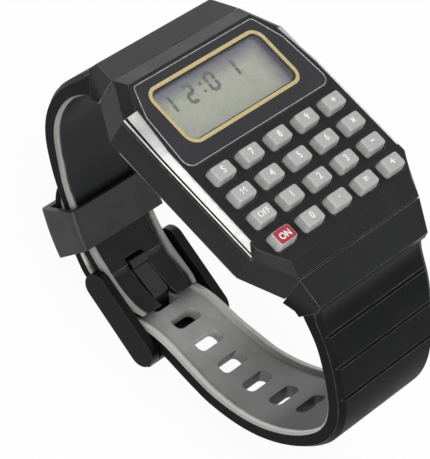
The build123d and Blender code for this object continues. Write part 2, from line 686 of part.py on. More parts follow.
def strap_band(path, start, end, halves, thicks, marks):
    """The band of a strap half: a smooth loft through its sections."""
    steps = round((end - start) / STATION_STEP)
    spots = [start + (end - start) * step / steps for step in range(steps + 1)]
    spots = [spot for spot in spots if all(abs(spot - mark) > STATION_STEP / 2 for mark in marks)]
    sections = []
    for spot in sorted(spots + list(marks)):
        rim = mix(spot - start, [(0, RIM_START), (RIM_FADE, RIM_TALL)])
        rim = min(rim, mix(spot, thicks) / 2)
        sections.append(strap_section(path, spot, mix(spot, halves), mix(spot, thicks), rim))
    return loft(sections)


def strap_block(path, root, root_thick, knee_y, knee_z):
    """The solid end of a strap half: sloping top, hub under the case and hole for its bar."""
    y, z, heading = along(path, root)
    outer = (y - root_thick * sin(heading), z + root_thick * cos(heading))
    seam = CASE_END_Y + BLOCK_GAP
    start_y, start_z = path[0][0], path[0][1]
    side = [(seam, BLOCK_SEAM_Z), (knee_y, knee_z), outer, (y, z)]
    if start_y > seam:
        side.append((start_y, start_z))
    side.append((seam, start_z))
    reach = outer[0] + OVERRUN
    plan = [(CASE_END_HALF, seam), (BLOCK_HALF, knee_y), (BLOCK_HALF, reach)]
    solid = across(side, CASE_END_HALF)
    solid &= plate(plan + [(-x, y) for x, y in reversed(plan)], -OVERRUN, BLOCK_SEAM_Z + OVERRUN)
    low, high = HUB_Z - HUB_RADIUS, HUB_Z + HUB_RADIUS
    web = [(HUB_Y, low), (HUB_Y, high), (seam + BLOCK_GAP, high), (seam + BLOCK_GAP, start_z), (seam, start_z)]
    solid += across(web, HUB_HALF)
    solid += cross_bar(HUB_Y, HUB_Z, HUB_RADIUS, -HUB_HALF, HUB_HALF)
    solid -= cross_bar(HUB_Y, HUB_Z, SPRING_BAR_RADIUS + PIN_GAP, -HUB_HALF, HUB_HALF)
    return solid


def ridge_cutter(path, distance, thick):
    """A groove with sloping sides, straight across the outer face."""
    half = RIDGE_WIDE / 2
    over = RIDGE_WIDE * 2
    mark = [(-half, over), (-half, 0), (0, -RIDGE_DEEP), (half, 0), (half, over)]
    y, z, heading = along(path, distance)
    plane = Plane(origin=(0, y, z), x_dir=(0, cos(heading), sin(heading)), z_dir=(1, 0, 0))
    spots = [(ahead, out + thick) for ahead, out in mark]
    return extrude(plane * face_of(spots), CASE_END_HALF, both=True)


def slot_cutter(path, distance):
    """A rounded slot through the strap, long across it."""
    y, z, heading = along(path, distance)
    plane = Plane(origin=(0, y, z), x_dir=(1, 0, 0), z_dir=(0, -sin(heading), cos(heading)))
    hole = RectangleRounded(SLOT_WIDE, SLOT_LONG, SLOT_ROUND)
    return extrude(plane * hole, OVERRUN, both=True)


UPPER_THICKS = [
    (UPPER_ROOT, UPPER_ROOT_THICK),
    (UPPER_ROOT + NECK_LONG, NECK_THICK),
    (UPPER_ROOT + 2 * NECK_LONG, STRAP_THICK),
    (BEND_START, STRAP_THICK),
    (at_turn(TIP_TURN), LAYER_THICK),
    (at_turn(TAPER_START_TURN), LAYER_THICK),
    (at_turn(TAPER_END_TURN), TAPER_END_THICK),
]
UPPER_HALVES = [
    (UPPER_ROOT, STRAP_ROOT_HALF),
    (UPPER_KEEPER_AT, UPPER_KEEPER_HALF),
    (UPPER_END_HALF_AT, STRAP_END_HALF),
    (at_turn(TAPER_START_TURN), STRAP_END_HALF),
    (at_turn(TAPER_END_TURN), TAPER_END_HALF),
]
LOWER_THICKS = [
    (LOWER_ROOT, LOWER_ROOT_THICK),
    (LOWER_ROOT + NECK_LONG, STRAP_THICK),
    (TAIL_START_AT - STATION_STEP, STRAP_THICK),
    (TAIL_START_AT, LAYER_THICK),
    (TIP_AT - TIP_LONG, LAYER_THICK),
    (TIP_AT, TIP_THICK),
]
LOWER_HALVES = [
    (LOWER_ROOT, STRAP_ROOT_HALF),
    (LOWER_WAIST_AT, LOWER_WAIST_HALF),
    (LOWER_SLOT_AT, LOWER_SLOT_HALF),
    (LOWER_END_HALF_AT, STRAP_END_HALF),
    (TIP_AT - TIP_LONG, STRAP_END_HALF),
    (TIP_AT - TIP_SHOULDER_LONG, TIP_SHOULDER_HALF),
    (TIP_AT, TIP_HALF),
]


def pivot_place():
    """The (y, z) of the buckle's bar, in the middle of the 12 o'clock half's thickness."""
    out = BUCKLE_BEND + LAYER_THICK / 2
    angle = FOOT[2] + pi / 2 + radians(PIVOT_TURN)
    return BEND_Y + out * cos(angle), BEND_Z + out * sin(angle)


PIVOT_Y, PIVOT_Z = pivot_place()


def strap_upper():
    """The 12 o'clock half: block, tapering band, bar hole and the notched, thinned end."""
    end = at_turn(TAPER_END_TURN)
    marks = (UPPER_ROOT, UPPER_ROOT + NECK_LONG, at_turn(PIVOT_TURN), at_turn(TAPER_START_TURN), end)
    strap = strap_band(UPPER_PATH, UPPER_ROOT, end, UPPER_HALVES, UPPER_THICKS, marks)
    strap += strap_block(UPPER_PATH, UPPER_ROOT, UPPER_ROOT_THICK, UPPER_KNEE_Y, UPPER_KNEE_Z)
    for count in range(RIDGE_COUNT):
        spot = UPPER_RIDGE_AT + count * RIDGE_PITCH
        strap -= ridge_cutter(UPPER_PATH, spot, mix(spot, UPPER_THICKS))
    strap -= cross_bar(PIVOT_Y, PIVOT_Z, BAR_RADIUS + PIN_GAP, -BLOCK_HALF, BLOCK_HALF)
    deep = TONGUE_HUB + TONGUE_SIDE_GAP
    y, z = PIVOT_Y + deep, PIVOT_Z
    strap -= block(-NOTCH_HALF, NOTCH_HALF, y - OVERRUN * 2, y, z - OVERRUN, z + OVERRUN)
    return solid_of(strap)


def tongue_slot_at():
    """The distance along the 6 o'clock half of the slot that the tongue is in."""
    swell_middle = (TAIL_BEND - SWELL_BEND) * sin(radians(STEP_END_TURN))
    turn = asin((swell_middle - SLOT_AHEAD) / SWELL_BEND)
    return TAIL_START_AT - SWELL_BEND * (turn + radians(STEP_END_TURN))


def strap_lower():
    """The 6 o'clock half: block, band with cross grooves and slots, and the rounded tail."""
    marks = (LOWER_ROOT, LOWER_ROOT + NECK_LONG, TAIL_START_AT, TIP_AT - TIP_LONG,
             TIP_AT - TIP_SHOULDER_LONG, TIP_AT)
    strap = strap_band(LOWER_PATH, LOWER_ROOT, TIP_AT, LOWER_HALVES, LOWER_THICKS, marks)
    strap += strap_block(LOWER_PATH, LOWER_ROOT, LOWER_ROOT_THICK, LOWER_KNEE_Y, LOWER_KNEE_Z)
    for count in range(RIDGE_COUNT):
        spot = LOWER_RIDGE_AT + count * RIDGE_PITCH
        strap -= ridge_cutter(LOWER_PATH, spot, mix(spot, LOWER_THICKS))
    for count in range(-SLOTS_BEFORE, SLOTS_AFTER + 1):
        strap -= slot_cutter(LOWER_PATH, tongue_slot_at() + count * SLOT_PITCH)
    return solid_of(mirror(strap, about=Plane.XZ))


def spring_bar(side):
    """A strap's bar: a body in the hub and a thinner tip in each side of the case."""
    bar = cross_bar(HUB_Y, HUB_Z, SPRING_BAR_RADIUS, -HUB_HALF, HUB_HALF)
    bar += cross_bar(HUB_Y, HUB_Z, SPRING_BAR_TIP, -SPRING_BAR_HALF, SPRING_BAR_HALF)
    return solid_of(bar if side > 0 else mirror(bar, about=Plane.XZ))


# Buckle and sliding loop

ARM_INNER = STRAP_END_HALF + ARM_GAP
ARM_OUTER = ARM_INNER + ARM_WALL


def buckle_frame():
    """Two arms round the strap, joined by the cross bar that the tongue rests on."""
    cross = by_foot(CROSS_AT, CROSS_OUT)
    bosses = Pos(PIVOT_Y, PIVOT_Z) * Circle(PIVOT_BOSS), Pos(*cross) * Circle(CROSS_BOSS)
    side = make_hull(bosses[0].edges() + bosses[1].edges())
    frame = extrude(Plane.YZ * side, ARM_OUTER, both=True)
    inner = block(-ARM_INNER, ARM_INNER, cross[0] - OVERRUN, PIVOT_Y + OVERRUN,
                  cross[1] - OVERRUN, PIVOT_Z + OVERRUN)
    frame -= inner
    corners = [by_foot(CROSS_FRONT, CROSS_TOP), by_foot(CROSS_BACK, CROSS_TOP),
               by_foot(CROSS_BACK, CROSS_BOTTOM), by_foot(CROSS_FRONT, CROSS_BOTTOM)]
    bar = across(corners, ARM_INNER + ARM_WALL / 2)
    frame += fillet(bar.edges().filter_by(Axis.X), CROSS_ROUND)
    half = TONGUE_HALF + TONGUE_SIDE_GAP
    rest = TONGUE_REST_OUT - TONGUE_THICK / 2 - TONGUE_SEAT_GAP
    seat = [by_foot(CROSS_FRONT + OVERRUN, rest), by_foot(CROSS_BACK - OVERRUN, rest),
            by_foot(CROSS_BACK - OVERRUN, rest + OVERRUN), by_foot(CROSS_FRONT + OVERRUN, rest + OVERRUN)]
    frame -= across(seat, half)
    reach = ARM_OUTER - ARM_SKIN
    frame -= cross_bar(PIVOT_Y, PIVOT_Z, BAR_RADIUS + PIN_GAP, -reach, reach)
    return solid_of(frame)


def buckle_bar():
    """The bar through the strap's end, held in both arms."""
    reach = ARM_OUTER - ARM_SKIN - PIN_GAP
    return solid_of(cross_bar(PIVOT_Y, PIVOT_Z, BAR_RADIUS, -reach, reach))


def buckle_tongue():
    """The tongue: an eye on the bar, and a blade bent through the slot and onto the cross bar."""
    knee = by_foot(TONGUE_KNEE_AT, TONGUE_KNEE_OUT)
    heel = by_foot(TONGUE_HEEL_AT, TONGUE_REST_OUT)
    tip = by_foot(TONGUE_TIP_AT, TONGUE_REST_OUT)
    route = FilletPolyline((PIVOT_Y, PIVOT_Z), knee, heel, tip, radius=TONGUE_BEND)
    ribbon = trace(route, line_width=TONGUE_THICK)
    blade = extrude(Plane.YZ * ribbon, TONGUE_HALF, both=True)
    blade += cross_bar(PIVOT_Y, PIVOT_Z, TONGUE_HUB, -TONGUE_HUB_HALF, TONGUE_HUB_HALF)
    blade -= cross_bar(PIVOT_Y, PIVOT_Z, BAR_RADIUS + PIN_GAP, -TONGUE_HUB_HALF, TONGUE_HUB_HALF)
    return solid_of(blade)


def keeper_loop():
    """The sliding loop, bent to the strap's own bend, with a step round each edge."""
    inner_low = BUCKLE_BEND - KEEPER_GAP
    inner_high = TAIL_BEND + LAYER_THICK + KEEPER_GAP
    inner_half = UPPER_KEEPER_HALF + KEEPER_GAP
    low, high = inner_low - KEEPER_UNDER, inner_high + KEEPER_WALL
    half = inner_half + KEEPER_SIDE
    angle = FOOT[2] + pi / 2 + radians(KEEPER_START_TURN)
    plane = Plane(origin=(0, BEND_Y, BEND_Z), x_dir=(1, 0, 0), z_dir=(0, -sin(angle), cos(angle)))
    outer = Pos(0, (low + high) / 2) * RectangleRounded(2 * half, high - low, KEEPER_ROUND)
    opening = Pos(0, (inner_low + inner_high) / 2) * Rectangle(2 * inner_half, inner_high - inner_low)
    axis = Axis((0, BEND_Y, BEND_Z), (1, 0, 0))
    loop = revolve(plane * (outer - opening), axis, degrees(KEEPER_LONG / BUCKLE_BEND))
    return solid_of(loop)


def pieces():
    """Every piece of the watch by name."""
    found = {
        "case_top": case_top(),
        "case_back": case_back(),
        "back_screws": back_screws(),
        "back_gasket": seal_ring(BACK_THICK, BACK_THICK + SEAL_DEEP, 0),
        "side_trim_left": side_trim(-1),
        "side_trim_right": side_trim(1),
        "display_plate": display_plate(),
        "window_crystal": window_crystal(),
        "window_frame_line": window_line(),
        "lcd_panel": lcd_panel(),
        "zebra_strips": zebra_strips(),
        "module_frame": module_frame(),
        "keypad_sheet": keypad_sheet(),
        "circuit_board": circuit_board(),
        "chip_blob": chip_blob(),
        "crystal_can": crystal_can(),
        "battery": battery(),
        "battery_holder": battery_holder(),
        "battery_contact_minus": battery_contact_minus(),
        "battery_contact_plus": battery_contact_plus(),
        "strap_upper": strap_upper(),
        "strap_lower": strap_lower(),
        "spring_bar_upper": spring_bar(1),
        "spring_bar_lower": spring_bar(-1),
        "buckle_frame": buckle_frame(),
        "buckle_bar": buckle_bar(),
        "buckle_tongue": buckle_tongue(),
        "keeper_loop": keeper_loop(),
    }
    for name, x, y in key_places():
        found[name] = key(x, y)
    return found


for node, shape in pieces().items():
    export_step(shape, f"parts/{node}.step")
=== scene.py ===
import math

import bmesh
import bpy
from mathutils import Matrix, Vector
from mathutils.bvhtree import BVHTree


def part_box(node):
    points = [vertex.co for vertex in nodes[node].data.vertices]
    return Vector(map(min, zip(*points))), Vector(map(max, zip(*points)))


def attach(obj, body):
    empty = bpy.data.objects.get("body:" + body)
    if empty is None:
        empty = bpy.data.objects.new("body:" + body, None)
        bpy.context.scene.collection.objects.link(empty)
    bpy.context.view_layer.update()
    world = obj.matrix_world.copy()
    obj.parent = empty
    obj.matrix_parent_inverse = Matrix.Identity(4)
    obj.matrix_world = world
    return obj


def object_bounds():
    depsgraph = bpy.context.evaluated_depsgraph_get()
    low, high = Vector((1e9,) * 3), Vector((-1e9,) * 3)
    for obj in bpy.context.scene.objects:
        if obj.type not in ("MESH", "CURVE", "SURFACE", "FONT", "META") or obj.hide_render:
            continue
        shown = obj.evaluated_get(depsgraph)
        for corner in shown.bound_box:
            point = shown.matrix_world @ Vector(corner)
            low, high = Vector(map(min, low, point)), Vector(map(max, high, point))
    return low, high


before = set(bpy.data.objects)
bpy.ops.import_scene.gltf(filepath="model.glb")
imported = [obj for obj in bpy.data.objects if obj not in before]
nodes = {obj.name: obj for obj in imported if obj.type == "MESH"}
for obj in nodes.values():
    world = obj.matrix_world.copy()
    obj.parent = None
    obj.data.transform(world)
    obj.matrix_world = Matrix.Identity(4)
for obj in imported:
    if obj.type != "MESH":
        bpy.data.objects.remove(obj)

MM = 0.001
cad_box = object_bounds()


# Shader groups

def start_group(name, inputs, outputs):
    """A shader group with its named sockets and the two nodes that carry them."""
    tree = bpy.data.node_groups.new(name, "ShaderNodeTree")
    for label, kind, value in inputs:
        socket = tree.interface.new_socket(name=label, in_out="INPUT", socket_type=kind)
        socket.default_value = value
    for label, kind in outputs:
        tree.interface.new_socket(name=label, in_out="OUTPUT", socket_type=kind)
    return tree, tree.nodes.new("NodeGroupInput").outputs, tree.nodes.new("NodeGroupOutput").inputs


def feed(tree, socket, value):
    """Gives an input a socket to follow, or a value of its own where there is one."""
    if isinstance(value, bpy.types.NodeSocket):
        tree.links.new(value, socket)
    elif value is not None:
        socket.default_value = value


def maths(tree, operation, first, second=None, third=None):
    """A Math node whose inputs are sockets or numbers; gives its output."""
    node = tree.nodes.new("ShaderNodeMath")
    node.operation = operation
    for socket, value in zip(node.inputs, (first, second, third)):
        feed(tree, socket, value)
    return node.outputs[0]


def vector_maths(tree, operation, first, second=None):
    """A Vector Math node whose inputs are sockets or three numbers; gives its outputs."""
    node = tree.nodes.new("ShaderNodeVectorMath")
    node.operation = operation
    for socket, value in zip(node.inputs, (first, second)):
        feed(tree, socket, value)
    return node.outputs


def axes_of(tree, vector):
    """The X, Y and Z of a vector."""
    node = tree.nodes.new("ShaderNodeSeparateXYZ")
    tree.links.new(vector, node.inputs[0])
    return node.outputs


def ramp(tree, value, low, high, to_low=0.0, to_high=1.0):
    """A clamped Map Range of a value, between limits that are sockets or numbers."""
    node = tree.nodes.new("ShaderNodeMapRange")
    limits = {"Value": value, "From Min": low, "From Max": high, "To Min": to_low, "To Max": to_high}
    for label, limit in limits.items():
        feed(tree, node.inputs[label], limit)
    return node.outputs["Result"]


def place(tree):
    """The piece's own Object coordinates."""
    return tree.nodes.new("ShaderNodeTexCoord").outputs["Object"]


def noise(tree, vector, scale, detail=3.0, rough=0.55):
    """A Noise texture; gives its factor. The scale is a socket or a number."""
    node = tree.nodes.new("ShaderNodeTexNoise")
    for label, value in (("Vector", vector), ("Scale", scale), ("Detail", detail), ("Roughness", rough)):
        feed(tree, node.inputs[label], value)
    return node.outputs["Factor" if "Factor" in node.outputs else "Fac"]


def moulded_grain_group():
    """Fine moulding grain, broad patches and sparse specks, all in object space."""
    tree, taken, given = start_group(
        "moulded_grain",
        [("Grain Scale", "NodeSocketFloat", 6000.0), ("Patch Scale", "NodeSocketFloat", 220.0),
         ("Speck Scale", "NodeSocketFloat", 3200.0)],
        [("Height", "NodeSocketFloat"), ("Patch", "NodeSocketFloat"), ("Speck", "NodeSocketFloat")],
    )
    spot = place(tree)
    fine = noise(tree, spot, taken["Grain Scale"], 4.0, 0.65)
    patch = noise(tree, spot, taken["Patch Scale"], 3.0, 0.6)
    cells = tree.nodes.new("ShaderNodeTexVoronoi")
    tree.links.new(spot, cells.inputs["Vector"])
    tree.links.new(taken["Speck Scale"], cells.inputs["Scale"])
    near = ramp(tree, cells.outputs["Distance"], 0.10, 0.26, 1.0, 0.0)
    tone = tree.nodes.new("ShaderNodeSeparateColor")
    tree.links.new(cells.outputs["Color"], tone.inputs[0])
    rare = ramp(tree, tone.outputs[0], 0.86, 0.9)
    tree.links.new(fine, given["Height"])
    tree.links.new(ramp(tree, patch, 0.3, 0.7), given["Patch"])
    tree.links.new(maths(tree, "MULTIPLY", near, rare), given["Speck"])
    return tree


def rounded_edge_group():
    """A softened edge: its normal, and an uneven mask of where the edge is, which materials use to lighten
    their colour, partly as scuffing and partly as painted edge highlights.
    """
    tree, taken, given = start_group(
        "rounded_edge",
        [("Radius", "NodeSocketFloat", 0.0001), ("Wear Scale", "NodeSocketFloat", 900.0),
         ("Full At", "NodeSocketFloat", 0.80)],
        [("Normal", "NodeSocketVector"), ("Wear", "NodeSocketFloat")],
    )
    bevel = tree.nodes.new("ShaderNodeBevel")
    bevel.samples = 6
    tree.links.new(taken["Radius"], bevel.inputs["Radius"])
    flat = tree.nodes.new("ShaderNodeNewGeometry").outputs["Normal"]
    likeness = vector_maths(tree, "DOT_PRODUCT", bevel.outputs[0], flat)["Value"]
    edge = ramp(tree, likeness, taken["Full At"], 0.985, 1.0, 0.0)
    patchy = ramp(tree, noise(tree, place(tree), taken["Wear Scale"], 4.0, 0.6), 0.35, 0.62, 0.35, 1.0)
    tree.links.new(bevel.outputs[0], given["Normal"])
    tree.links.new(maths(tree, "MULTIPLY", edge, patchy), given["Wear"])
    return tree


def brushed_lines_group():
    """Long fine lines: noise drawn out along one axis by a scale for each axis."""
    tree, taken, given = start_group(
        "brushed_lines",
        [("Line Scale", "NodeSocketVector", (9000.0, 300.0, 9000.0))],
        [("Height", "NodeSocketFloat"), ("Streak", "NodeSocketFloat")],
    )
    stretched = vector_maths(tree, "MULTIPLY", place(tree), taken["Line Scale"])[0]
    lines = noise(tree, stretched, 1.0, 5.0, 0.7)
    tree.links.new(lines, given["Height"])
    tree.links.new(ramp(tree, lines, 0.32, 0.68), given["Streak"])
    return tree


def painted_field_group():
    """A mask of a rounded rectangle on a piece's top, round a centre in its own X and Y."""
    tree, taken, given = start_group(
        "painted_field",
        [("Centre", "NodeSocketVector", (0.0, 0.0, 0.0)), ("Half Wide", "NodeSocketFloat", 0.001),
         ("Half High", "NodeSocketFloat", 0.001), ("Corner", "NodeSocketFloat", 0.0003)],
        [("Mask", "NodeSocketFloat")],
    )
    axes = axes_of(tree, vector_maths(tree, "SUBTRACT", place(tree), taken["Centre"])[0])
    past = []
    for axis, half in ((0, "Half Wide"), (1, "Half High")):
        inner = maths(tree, "SUBTRACT", taken[half], taken["Corner"])
        over = maths(tree, "SUBTRACT", maths(tree, "ABSOLUTE", axes[axis]), inner)
        past.append(maths(tree, "MAXIMUM", over, 0.0))
    squares = [maths(tree, "MULTIPLY", value, value) for value in past]
    reach = maths(tree, "SQRT", maths(tree, "ADD", squares[0], squares[1]))
    signed = maths(tree, "SUBTRACT", reach, taken["Corner"])
    tree.links.new(ramp(tree, signed, -0.00002, 0.00002, 1.0, 0.0), given["Mask"])
    return tree


GRAIN = moulded_grain_group()
EDGE = rounded_edge_group()
BRUSHED = brushed_lines_group()
FIELD = painted_field_group()


# Materials

def start_material(name, rough, metallic=0.0, specular=0.5):
    """A material with a Principled shader; gives the material, its tree and the shader."""
    material = bpy.data.materials.new(name)
    material.use_nodes = True
    tree = material.node_tree
    shader = tree.nodes["Principled BSDF"]
    shader.inputs["Roughness"].default_value = rough
    shader.inputs["Metallic"].default_value = metallic
    shader.inputs["Specular IOR Level"].default_value = specular
    return material, tree, shader


def effect(tree, group, **values):
    """A shader group placed in a material with its own values."""
    node = tree.nodes.new("ShaderNodeGroup")
    node.node_tree = group
    for label, value in values.items():
        node.inputs[label.replace("_", " ")].default_value = value
    return node.outputs


def blend_colour(tree, mask, low, high, amount=1.0):
    """One colour turning into another by a mask. A colour is a socket or three numbers."""
    node = tree.nodes.new("ShaderNodeMix")
    node.data_type = "RGBA"
    factor, first, second = node.inputs[0], node.inputs[6], node.inputs[7]
    tree.links.new(maths(tree, "MULTIPLY", mask, amount), factor)
    for socket, value in ((first, low), (second, high)):
        feed(tree, socket, value if isinstance(value, bpy.types.NodeSocket) else (*value, 1.0))
    return node.outputs[2]


def end_in_mix(tree, factor, first, second):
    """Ends a material in a mix of two shaders."""
    mixed = tree.nodes.new("ShaderNodeMixShader")
    for socket, value in zip(mixed.inputs, (factor, first, second)):
        tree.links.new(value, socket)
    tree.links.new(mixed.outputs[0], tree.nodes["Material Output"].inputs["Surface"])


def seen_straight(tree):
    """One where the camera sees a surface, also by reflection or through a clear piece."""
    path = tree.nodes.new("ShaderNodeLightPath").outputs
    seen = maths(tree, "MAXIMUM", path["Is Camera Ray"], path["Is Glossy Ray"])
    return maths(tree, "MAXIMUM", seen, path["Is Transmission Ray"])


def add_bump(tree, shader, height, depth, normal=None):
    """Fine relief on the shader's normal, over an edge's rounded normal where one is given."""
    bump = tree.nodes.new("ShaderNodeBump")
    bump.inputs["Distance"].default_value = depth
    tree.links.new(height, bump.inputs["Height"])
    if normal is not None:
        tree.links.new(normal, bump.inputs["Normal"])
    tree.links.new(bump.outputs[0], shader.inputs["Normal"])


def moulded(name, dark, light, rough, depth=0.000006, grain=6000.0, scuff_glint_colour=None, scuff_glint_amount=0.5, radius=0.00012,
            specks=0.0, specular=0.5, patch=220.0):
    """Moulded plastic or rubber: mottled colour, fine grain and softened edges, lightened partly by scuffing
    and partly by painted highlights.
    """
    material, tree, shader = start_material(name, rough, specular=specular)
    texture = effect(tree, GRAIN, Grain_Scale=grain, Patch_Scale=patch)
    edge = effect(tree, EDGE, Radius=radius)
    colour = blend_colour(tree, texture["Patch"], dark, light)
    if specks:
        speck_colour = [min(1.0, level * 3 + 0.05) for level in light]
        colour = blend_colour(tree, texture["Speck"], colour, speck_colour, specks)
    # Lighter edges: partly scuffing, partly a painted edge highlight.
    if scuff_glint_colour:
        colour = blend_colour(tree, edge["Wear"], colour, scuff_glint_colour, scuff_glint_amount)
    tree.links.new(colour, shader.inputs["Base Color"])
    tree.links.new(ramp(tree, texture["Patch"], 0.0, 1.0, rough - 0.05, rough + 0.06),
                   shader.inputs["Roughness"])
    add_bump(tree, shader, texture["Height"], depth, edge["Normal"])
    return material


def brushed(name, dark, light, rough, lines, depth=0.000003, radius=0.00008, metallic=1.0):
    """Metal with drawn lines, softened edges and streaks in its colour and roughness."""
    material, tree, shader = start_material(name, rough, metallic=metallic)
    drawn = effect(tree, BRUSHED, Line_Scale=lines)
    edge = effect(tree, EDGE, Radius=radius)
    colour = blend_colour(tree, drawn["Streak"], dark, light)
    # Lighter edges: partly scuffing, partly a painted edge highlight.
    scuff_and_highlight = [min(1.0, level * 1.15) for level in light]
    tree.links.new(blend_colour(tree, edge["Wear"], colour, scuff_and_highlight, 0.5), shader.inputs["Base Color"])
    tree.links.new(ramp(tree, drawn["Streak"], 0.0, 1.0, rough - 0.06, rough + 0.08),
                   shader.inputs["Roughness"])
    add_bump(tree, shader, drawn["Height"], depth, edge["Normal"])
    return material


def side_silver():
    """The bevel's silver strip: fine dashes, darker towards its 12 o'clock end, and a black groove low down."""
    material, tree, shader = start_material("side_silver", 0.34, metallic=1.0)
    drawn = effect(tree, BRUSHED, Line_Scale=(5200.0, 1300.0, 5200.0))
    axes = axes_of(tree, place(tree))
    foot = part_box("side_trim_left")[0].z
    colour = blend_colour(tree, drawn["Streak"], (0.46, 0.46, 0.44), (0.88, 0.88, 0.86))
    # Darker towards the 12 o'clock end.
    darker_to_twelve = ramp(tree, axes["Y"], 2.0 * MM, 10.0 * MM)
    colour = blend_colour(tree, darker_to_twelve, colour, (0.32, 0.32, 0.32), 0.75)
    groove = maths(tree, "MULTIPLY", ramp(tree, axes["Z"], foot + 0.14 * MM, foot + 0.17 * MM),
                   ramp(tree, axes["Z"], foot + 0.36 * MM, foot + 0.40 * MM, 1.0, 0.0))
    tree.links.new(blend_colour(tree, groove, colour, (0.010, 0.010, 0.010)), shader.inputs["Base Color"])
    tree.links.new(ramp(tree, drawn["Streak"], 0.0, 1.0, 0.28, 0.44), shader.inputs["Roughness"])
    add_bump(tree, shader, drawn["Height"], 0.000005)
    return material


WRIST_Y, WRIST_Z = -3.0 * MM, -14.0 * MM  # the middle of the loop
WIDEST = 15.0 * MM  # above the half-width of both strap halves, so that a share of it stays under 1
TURN_STEPS = 30


def half_widths(name):
    """A strap half's half-width at even turns round the loop, from straight down to both sides."""
    widths = [0.0] * (TURN_STEPS + 1)
    for vertex in nodes[name].data.vertices:
        turn = math.atan2(vertex.co.y - WRIST_Y, WRIST_Z - vertex.co.z)
        step = round((turn / math.tau + 0.5) * TURN_STEPS)
        widths[step] = max(widths[step], abs(vertex.co.x))
    known = [step for step, width in enumerate(widths) if width]
    for step in range(TURN_STEPS + 1):
        if not widths[step]:
            nearest = min(known, key=lambda other: abs(other - step))
            widths[step] = widths[nearest]
    return widths


def from_side(tree, name):
    """How far a spot is from the side of its strap half, in metres."""
    axes = axes_of(tree, place(tree))
    ahead = maths(tree, "SUBTRACT", axes["Y"], WRIST_Y)
    below = maths(tree, "SUBTRACT", WRIST_Z, axes["Z"])
    turn = maths(tree, "MULTIPLY_ADD", maths(tree, "ARCTAN2", ahead, below), 1 / math.tau, 0.5)
    table = tree.nodes.new("ShaderNodeValToRGB")
    tree.links.new(turn, table.inputs[0])
    stops = table.color_ramp.elements
    widths = half_widths(name)
    for step in range(1, TURN_STEPS):
        stops.new(step / TURN_STEPS)
    for stop, width in zip(stops, widths):
        stop.color = (*[width / WIDEST] * 3, 1.0)
    level = tree.nodes.new("ShaderNodeSeparateColor")
    tree.links.new(table.outputs[0], level.inputs[0])
    half = maths(tree, "MULTIPLY", level.outputs[0], WIDEST)
    return maths(tree, "SUBTRACT", half, maths(tree, "ABSOLUTE", axes["X"]))


def strap_resin(name, painted_inner_dark, painted_inner_light, painted_far_shade, rim_highlight_colour, coat):
    """Strap resin: satin black outside and, towards the wrist, coated and polished, with painted light and
    shade in the inside's colour and painted highlights along the rims.
    """
    material, tree, shader = start_material(name + "_resin", 0.4, specular=0.07)
    texture = effect(tree, GRAIN, Grain_Scale=4200.0, Patch_Scale=130.0)
    edge = effect(tree, EDGE, Radius=0.00022, Wear_Scale=500.0)
    coordinates = tree.nodes.new("ShaderNodeTexCoord").outputs
    inward = vector_maths(tree, "SUBTRACT", (0.0, WRIST_Y, WRIST_Z), coordinates["Object"])[0]
    pointing = vector_maths(tree, "NORMALIZE", inward)[0]
    facing = vector_maths(tree, "DOT_PRODUCT", pointing, coordinates["Normal"])["Value"]
    wrist = ramp(tree, facing, 0.15, 0.5)
    axes = axes_of(tree, coordinates["Object"])
    from_rim = from_side(tree, name)
    # Slot walls low down take the inside's colour, painted light included.
    slot_walls = maths(tree, "MULTIPLY", ramp(tree, facing, -0.45, -0.25),
                       ramp(tree, from_rim, 2.0 * MM, 2.6 * MM))
    low_down = ramp(tree, axes["Z"], -24 * MM, -20 * MM, 1.0, 0.0)
    slot_walls = maths(tree, "MULTIPLY", slot_walls, low_down)
    wrist = maths(tree, "MAXIMUM", wrist, slot_walls)
    outer = blend_colour(tree, texture["Patch"], (0.003, 0.0032, 0.0034), (0.007, 0.0074, 0.0076))
    # The inside's colours are painted light and shade: lit and shaded copies of one resin.
    inner = blend_colour(tree, texture["Patch"], painted_inner_dark, painted_inner_light)
    # Painted shade, deepening towards the strap's far end.
    far = ramp(tree, axes["Y"], -27 * MM, -9 * MM, 1.0, 0.0)
    inner = blend_colour(tree, far, inner, painted_far_shade, 0.92)
    # Painted highlight along the rims of the inside.
    rim_wobble = noise(tree, place(tree), 420.0, 4.0, 0.65)
    side = maths(tree, "ADD", from_rim, maths(tree, "MULTIPLY", rim_wobble, 0.5 * MM))
    scuff_and_highlight = maths(tree, "MULTIPLY", ramp(tree, side, 1.35 * MM, 1.75 * MM, 1.0, 0.0), wrist)
    inner = blend_colour(tree, scuff_and_highlight, inner, rim_highlight_colour, 0.92)
    colour = blend_colour(tree, wrist, outer, inner)
    # Lighter edges: partly scuffing, partly a painted edge highlight.
    colour = blend_colour(tree, edge["Wear"], colour, (0.34, 0.34, 0.34), 0.6)
    tree.links.new(colour, shader.inputs["Base Color"])
    satin = ramp(tree, texture["Patch"], 0.0, 1.0, 0.46, 0.56)
    tree.links.new(satin, shader.inputs["Roughness"])
    block = ramp(tree, axes["Z"], 2.0 * MM, 4.0 * MM, 0.0, 0.32)
    polish = maths(tree, "MAXIMUM", maths(tree, "MULTIPLY", wrist, coat), block)
    tree.links.new(polish, shader.inputs["Coat Weight"])
    shader.inputs["Coat Roughness"].default_value = 0.28
    add_bump(tree, shader, texture["Height"], 0.000004, edge["Normal"])
    return material


